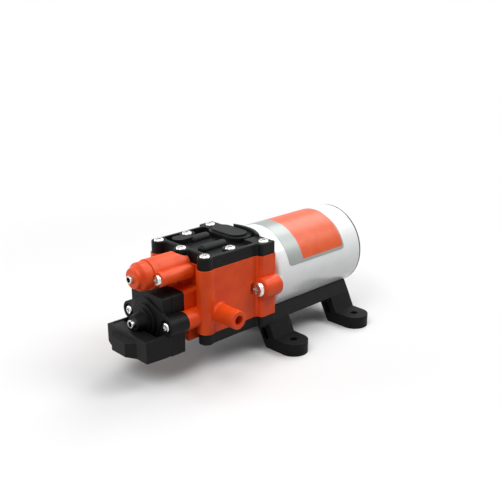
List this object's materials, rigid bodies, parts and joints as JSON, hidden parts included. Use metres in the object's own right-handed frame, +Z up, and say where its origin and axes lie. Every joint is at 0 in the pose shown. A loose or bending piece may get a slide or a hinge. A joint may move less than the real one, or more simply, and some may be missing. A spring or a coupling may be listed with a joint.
{
  "type": "diaphragm water pump",
  "caption": "Compact 12 V diaphragm water pump with opposed chambers, side hose stubs, pressure switch, bypass valve and a base on rubber feet.",
  "frame": {"origin": "centre of the four foot holes, on the surface that the feet stand on", "axes": "+X from the pressure switch to the motor, +Z up, the outlet stub points to -Y"},
  "size_m": [0.1704, 0.0874, 0.0699],
  "materials": {
    "orange_plastic": "satin",
    "black_plastic": "satin",
    "valve_plastic": "satin",
    "painted_can": "gloss",
    "label_foil": "gloss",
    "bright_screws": "polished",
    "die_cast": "satin",
    "shaft_steel": "polished",
    "core_steel": "satin",
    "magnet_ferrite": "matte",
    "winding_copper": "satin",
    "bush_bronze": "satin",
    "carbon": "matte",
    "spring_steel": "polished",
    "black_rubber": "matte"
  },
  "bodies": {
    "pump": {"pump_housing": "orange_plastic", "top_cover": "black_plastic", "bottom_cover": "black_plastic", "top_valve_plate": "valve_plastic", "bottom_valve_plate": "valve_plastic", "top_cover_screws": "bright_screws", "bottom_cover_screws": "bright_screws", "upper_diaphragm": "black_rubber", "lower_diaphragm": "black_rubber", "motor_can": "painted_can", "motor_end_cap": "black_plastic", "motor_front_plate": "die_cast", "motor_bushes": "bush_bronze", "magnets": "magnet_ferrite", "brush_springs": "spring_steel", "lead_grommet": "black_rubber", "rating_label": "label_foil", "motor_mount_screws": "bright_screws", "bypass_cap": "orange_plastic", "bypass_cap_screws": "bright_screws", "bypass_spring": "spring_steel", "bypass_seal": "black_rubber", "switch_body": "black_plastic", "switch_cover": "black_plastic", "switch_screws": "bright_screws", "switch_spring": "spring_steel", "switch_diaphragm": "black_rubber", "microswitch": "black_plastic", "base_plate": "black_plastic", "base_screws": "bright_screws", "foot_front_near": "black_rubber", "foot_front_far": "black_rubber", "foot_rear_near": "black_rubber", "foot_rear_far": "black_rubber"},
    "rotor": {"motor_shaft": "shaft_steel", "armature_core": "core_steel", "armature_windings": "winding_copper", "commutator": "winding_copper", "eccentric": "core_steel", "eccentric_set_screw": "carbon", "drive_bearing_inner": "shaft_steel", "drive_bearing_balls": "shaft_steel"},
    "yoke": {"connecting_yoke": "die_cast", "drive_bearing_outer": "shaft_steel", "upper_piston_plate": "shaft_steel", "lower_piston_plate": "shaft_steel", "piston_screws": "shaft_steel"},
    "top_inlet_valve": {"top_inlet_valve": "black_rubber"},
    "top_outlet_valve": {"top_outlet_valve": "black_rubber"},
    "bottom_inlet_valve": {"bottom_inlet_valve": "black_rubber"},
    "bottom_outlet_valve": {"bottom_outlet_valve": "black_rubber"},
    "bypass_poppet": {"bypass_poppet": "black_rubber"},
    "bypass_spring_seat": {"bypass_spring_seat": "shaft_steel"},
    "bypass_adjuster": {"bypass_adjuster": "bright_screws"},
    "switch_spring_seat": {"switch_spring_seat": "shaft_steel"},
    "switch_adjuster": {"switch_adjuster": "bright_screws"},
    "switch_plunger": {"switch_plunger": "valve_plastic"},
    "microswitch_button": {"microswitch_button": "valve_plastic"},
    "near_brush": {"near_brush": "carbon"},
    "far_brush": {"far_brush": "carbon"}
  },
  "joints": [
    {"name": "rotor_spin", "type": "hinge", "parent": "pump", "child": "rotor", "pos_m": [0, 0, 0.0425], "axis": [1, 0, 0], "continuous": true},
    {"name": "yoke_orbit", "type": "hinge", "parent": "rotor", "child": "yoke", "pos_m": [-0.0532, 0.0012, 0.0425], "axis": [1, 0, 0], "continuous": true, "deforming": ["upper_diaphragm", "lower_diaphragm"]},
    {"name": "top_inlet_lift", "type": "slide", "parent": "pump", "child": "top_inlet_valve", "axis": [0, 0, 1], "range_m": [0, 0.0008]},
    {"name": "top_outlet_lift", "type": "slide", "parent": "pump", "child": "top_outlet_valve", "axis": [0, 0, -1], "range_m": [0, 0.0008]},
    {"name": "bottom_inlet_lift", "type": "slide", "parent": "pump", "child": "bottom_inlet_valve", "axis": [0, 0, -1], "range_m": [0, 0.0008]},
    {"name": "bottom_outlet_lift", "type": "slide", "parent": "pump", "child": "bottom_outlet_valve", "axis": [0, 0, 1], "range_m": [0, 0.0008]},
    {"name": "bypass_poppet_lift", "type": "slide", "parent": "pump", "child": "bypass_poppet", "axis": [-1, 0, 0], "range_m": [0, 0.0015], "stiffness_N_per_m": 900, "springref_m": -0.0015, "deforming": ["bypass_spring"]},
    {"name": "bypass_seat_travel", "type": "slide", "parent": "pump", "child": "bypass_spring_seat", "axis": [1, 0, 0], "range_m": [0, 0.0025], "deforming": ["bypass_spring"]},
    {"name": "bypass_adjuster_turn", "type": "hinge", "parent": "bypass_spring_seat", "child": "bypass_adjuster", "pos_m": [-0.11, 0, 0.0589], "axis": [1, 0, 0], "range_deg": [0, 1125]},
    {"name": "switch_seat_travel", "type": "slide", "parent": "pump", "child": "switch_spring_seat", "axis": [1, 0, 0], "range_m": [0, 0.0024], "deforming": ["switch_spring"]},
    {"name": "switch_adjuster_turn", "type": "hinge", "parent": "switch_spring_seat", "child": "switch_adjuster", "pos_m": [-0.114, 0, 0.0336], "axis": [1, 0, 0], "range_deg": [0, 1080]},
    {"name": "switch_plunger_travel", "type": "slide", "parent": "pump", "child": "switch_plunger", "axis": [-1, 0, 0], "range_m": [0, 0.0008], "stiffness_N_per_m": 1500, "springref_m": -0.0012, "deforming": ["switch_spring", "switch_diaphragm"]},
    {"name": "microswitch_button_travel", "type": "slide", "parent": "pump", "child": "microswitch_button", "axis": [-1, 0, 0], "range_m": [0, 0.0008]},
    {"name": "near_brush_retract", "type": "slide", "parent": "pump", "child": "near_brush", "axis": [0, -1, 0], "range_m": [0, 0.004], "stiffness_N_per_m": 60, "springref_m": -0.006, "deforming": ["brush_springs"]},
    {"name": "far_brush_retract", "type": "slide", "parent": "pump", "child": "far_brush", "axis": [0, 1, 0], "range_m": [0, 0.004], "stiffness_N_per_m": 60, "springref_m": -0.006, "deforming": ["brush_springs"]}
  ],
  "couplings": [
    {"joint": "yoke_orbit", "follows": "rotor_spin", "ratio": -1},
    {"joint": "bypass_adjuster_turn", "follows": "bypass_seat_travel", "rad_per_m": 7854},
    {"joint": "switch_adjuster_turn", "follows": "switch_seat_travel", "rad_per_m": 7854},
    {"joint": "microswitch_button_travel", "follows": "switch_plunger_travel", "ratio": 1}
  ]
}
